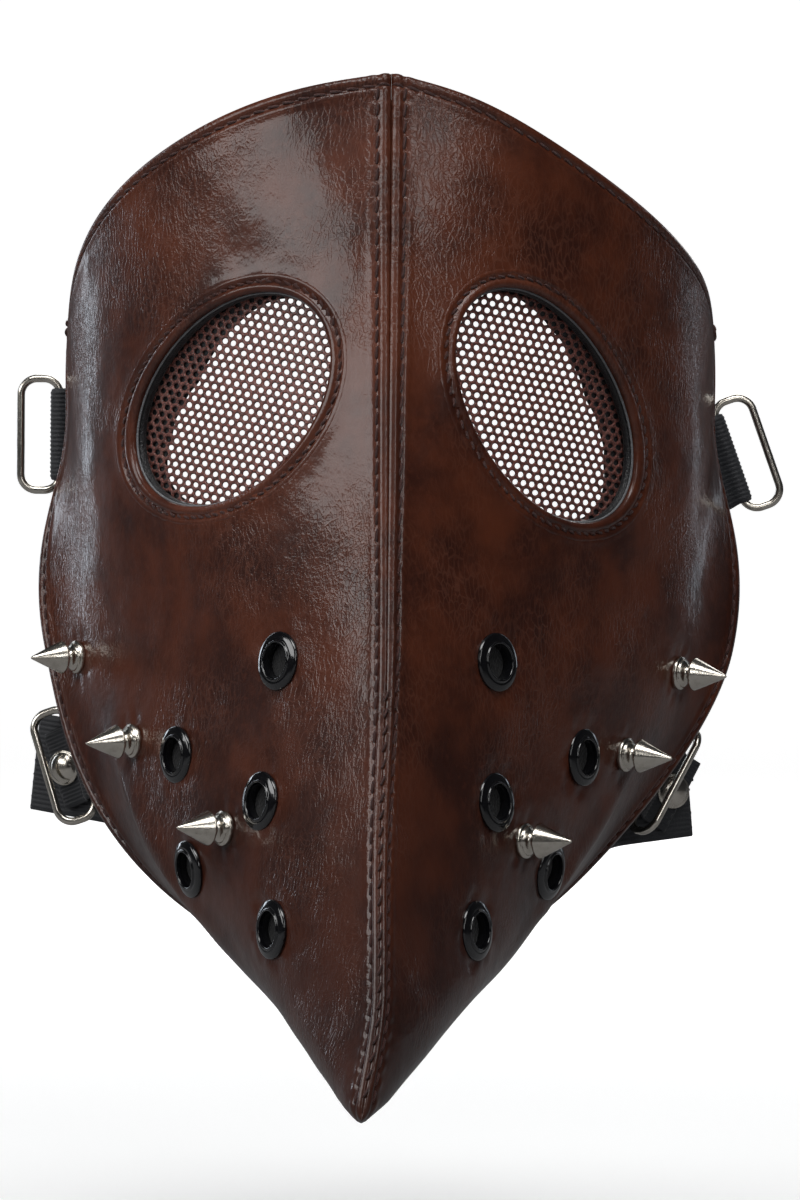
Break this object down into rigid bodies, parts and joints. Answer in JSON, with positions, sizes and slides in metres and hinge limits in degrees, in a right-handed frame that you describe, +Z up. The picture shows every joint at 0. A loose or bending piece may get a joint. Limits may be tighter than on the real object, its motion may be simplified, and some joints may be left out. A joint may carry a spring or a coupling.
{
  "type": "plague doctor mask",
  "caption": "Leather beaked face mask on a stiff lining, with netted eye openings, crimped vents, screw-back cone spikes and wire strap rings on webbing.",
  "frame": {"origin": "middle plane, level with the eyes, at the rear edge of the temples, where the face closes the mask", "axes": "+Z up, the beak and the eyes face -Y, +X to the right when looking at the front"},
  "size_m": [0.1993, 0.1705, 0.2417],
  "materials": {
    "leather": "glossy, fine crackle",
    "lining": "matt",
    "seam_tape": "matt",
    "eye_net": "matt, open hexagonal knit",
    "enamel": "gloss",
    "nickel": "polished",
    "webbing": "ribbed, matt"
  },
  "bodies": {
    "mask": {"left_panel": "leather", "left_lining": "lining", "left_edge_binding": "leather", "left_eye_binding": "leather", "left_eye_mesh": "eye_net", "left_eyelet_1": "enamel", "left_eyelet_2": "enamel", "left_eyelet_3": "enamel", "left_eyelet_4": "enamel", "left_eyelet_5": "enamel", "left_eyelet_washers": "enamel", "left_spike_1": "nickel", "left_spike_2": "nickel", "left_spike_3": "nickel", "left_spike_screws": "nickel", "left_upper_webbing": "webbing", "left_lower_webbing": "webbing", "left_lower_tab": "webbing", "left_rivet_cap": "nickel", "left_rivet_post": "nickel", "right_panel": "leather", "right_lining": "lining", "right_edge_binding": "leather", "right_eye_binding": "leather", "right_eye_mesh": "eye_net", "right_eyelet_1": "enamel", "right_eyelet_2": "enamel", "right_eyelet_3": "enamel", "right_eyelet_4": "enamel", "right_eyelet_5": "enamel", "right_eyelet_washers": "enamel", "right_spike_1": "nickel", "right_spike_2": "nickel", "right_spike_3": "nickel", "right_spike_screws": "nickel", "right_upper_webbing": "webbing", "right_lower_webbing": "webbing", "right_lower_tab": "webbing", "right_rivet_cap": "nickel", "right_rivet_post": "nickel", "ridge_seam_tape": "seam_tape", "under_seam_tape": "seam_tape"},
    "left_upper_ring": {"left_upper_ring": "nickel"},
    "left_lower_ring": {"left_lower_ring": "nickel"},
    "right_upper_ring": {"right_upper_ring": "nickel"},
    "right_lower_ring": {"right_lower_ring": "nickel"}
  },
  "joints": [
    {"name": "left_upper_ring_swing", "type": "hinge", "parent": "mask", "child": "left_upper_ring", "pos_m": [-0.0858, 0.0048, -0.0055], "axis": [0, 0, 1], "range_deg": [-90, 60]},
    {"name": "left_lower_ring_swing", "type": "hinge", "parent": "mask", "child": "left_lower_ring", "pos_m": [-0.07795, -0.01457, -0.08921], "axis": [-0.2962, 0.171, 0.9397], "range_deg": [-7, 66]},
    {"name": "right_upper_ring_swing", "type": "hinge", "parent": "mask", "child": "right_upper_ring", "pos_m": [0.088, 0.0048, -0.0109], "axis": [0.3338, 0, -0.9426], "range_deg": [-90, 60]},
    {"name": "right_lower_ring_swing", "type": "hinge", "parent": "mask", "child": "right_lower_ring", "pos_m": [0.06797, -0.01377, -0.09315], "axis": [-0.4636, -0.1873, -0.866], "range_deg": [-70, 7]}
  ]
}
